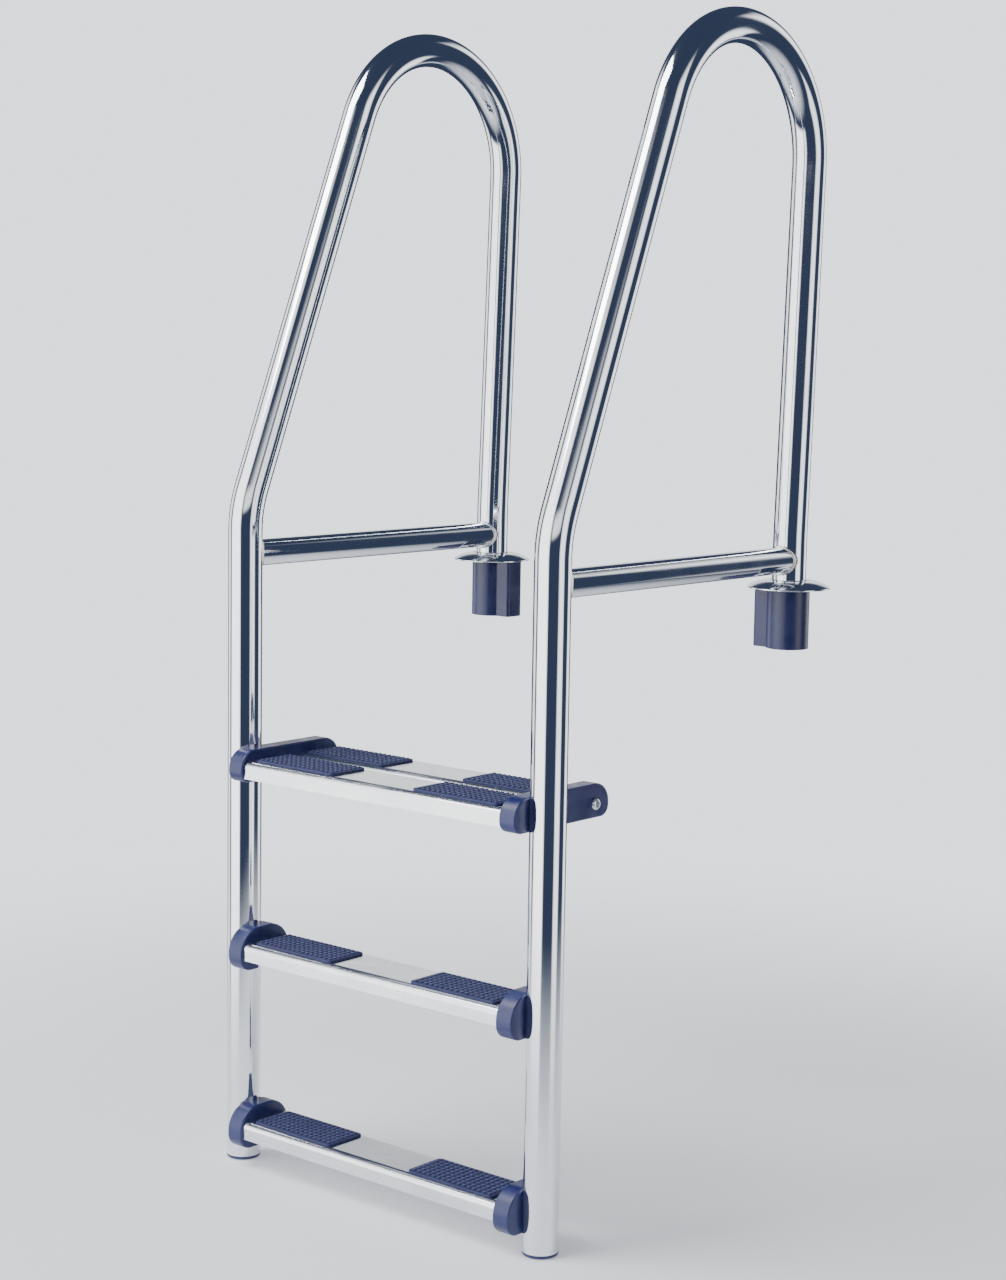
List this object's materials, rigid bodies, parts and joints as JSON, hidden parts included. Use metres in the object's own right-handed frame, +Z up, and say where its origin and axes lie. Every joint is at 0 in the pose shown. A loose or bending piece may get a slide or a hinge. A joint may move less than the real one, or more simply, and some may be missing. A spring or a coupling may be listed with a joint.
{
  "type": "pool ladder",
  "caption": "Deck-mounted pool ladder with hooped handrails, braces, padded pressed-steel steps in moulded end caps, and wedge anchors under sliding escutcheons.",
  "frame": {"origin": "midway between the two posts, at deck level", "axes": "+X to the right for a bather in the water facing the deck, +Y from the pool towards the deck, +Z up"},
  "size_m": [0.604, 0.569, 1.4549],
  "materials": {
    "polished_steel": "mirror-polished stainless steel tube",
    "spun_steel": "polished, with faint spinning rings",
    "weld_steel": "cleaned weld bead",
    "tread_steel": "bright pressed stainless steel sheet",
    "fastener_steel": "bright stainless steel",
    "pad_rubber": "studded, matt dark blue",
    "navy_plastic": "moulded, fine-grained dark blue",
    "socket_plastic": "moulded, dark blue",
    "wedge_brass": "cast"
  },
  "bodies": {
    "deck_anchors": {"anchor_socket_left": "socket_plastic", "anchor_socket_right": "socket_plastic"},
    "escutcheon_left": {"escutcheon_left": "spun_steel"},
    "wedge_left": {"anchor_wedge_left": "wedge_brass"},
    "wedge_screw_left": {"wedge_bolt_left": "fastener_steel"},
    "escutcheon_right": {"escutcheon_right": "spun_steel"},
    "wedge_right": {"anchor_wedge_right": "wedge_brass"},
    "wedge_screw_right": {"wedge_bolt_right": "fastener_steel"},
    "ladder": {"brace_left": "polished_steel", "brace_right": "polished_steel", "brace_welds_left": "weld_steel", "brace_welds_right": "weld_steel", "leg_bushes_left": "fastener_steel", "leg_bushes_right": "fastener_steel", "leg_end_plug_left": "navy_plastic", "leg_end_plug_right": "navy_plastic", "lower_end_cap_left": "navy_plastic", "lower_end_cap_right": "navy_plastic", "lower_pad_left": "pad_rubber", "lower_pad_right": "pad_rubber", "lower_tread": "tread_steel", "middle_end_cap_left": "navy_plastic", "middle_end_cap_right": "navy_plastic", "middle_pad_left": "pad_rubber", "middle_pad_right": "pad_rubber", "middle_tread": "tread_steel", "rail_left": "polished_steel", "rail_right": "polished_steel", "rear_bolt_left": "fastener_steel", "rear_bolt_right": "fastener_steel", "rear_nut_left": "fastener_steel", "rear_nut_right": "fastener_steel", "tread_bolt_washers_left": "fastener_steel", "tread_bolt_washers_right": "fastener_steel", "tread_bolts_left": "fastener_steel", "tread_bolts_right": "fastener_steel", "upper_end_cap_left": "navy_plastic", "upper_end_cap_right": "navy_plastic", "upper_front_pad_left": "pad_rubber", "upper_front_pad_right": "pad_rubber", "upper_front_tread": "tread_steel", "upper_rear_pad_left": "pad_rubber", "upper_rear_pad_right": "pad_rubber", "upper_rear_tread": "tread_steel"}
  },
  "joints": [
    {"name": "lift_out", "type": "slide", "parent": "deck_anchors", "child": "ladder", "axis": [0, 0, 1], "range_m": [0, 0.075]},
    {"name": "escutcheon_slide_left", "type": "slide", "parent": "deck_anchors", "child": "escutcheon_left", "axis": [0, 0, 1], "range_m": [0, 0.005]},
    {"name": "wedge_bolt_turn_left", "type": "hinge", "parent": "deck_anchors", "child": "wedge_screw_left", "pos_m": [-0.219, 0, -0.006], "axis": [0, 0, 1], "range_deg": [0, 1800]},
    {"name": "wedge_slide_left", "type": "slide", "parent": "deck_anchors", "child": "wedge_left", "axis": [0, 0, 1], "range_m": [-0.00625, 0]},
    {"name": "escutcheon_slide_right", "type": "slide", "parent": "deck_anchors", "child": "escutcheon_right", "axis": [0, 0, 1], "range_m": [0, 0.005]},
    {"name": "wedge_bolt_turn_right", "type": "hinge", "parent": "deck_anchors", "child": "wedge_screw_right", "pos_m": [0.219, 0, -0.006], "axis": [0, 0, 1], "range_deg": [0, 1800]},
    {"name": "wedge_slide_right", "type": "slide", "parent": "deck_anchors", "child": "wedge_right", "axis": [0, 0, 1], "range_m": [-0.00625, 0]}
  ],
  "couplings": [
    {"joint": "wedge_bolt_turn_left", "follows": "wedge_slide_left", "rad_per_m": -5026.5},
    {"joint": "wedge_bolt_turn_right", "follows": "wedge_slide_right", "rad_per_m": -5026.5}
  ]
}
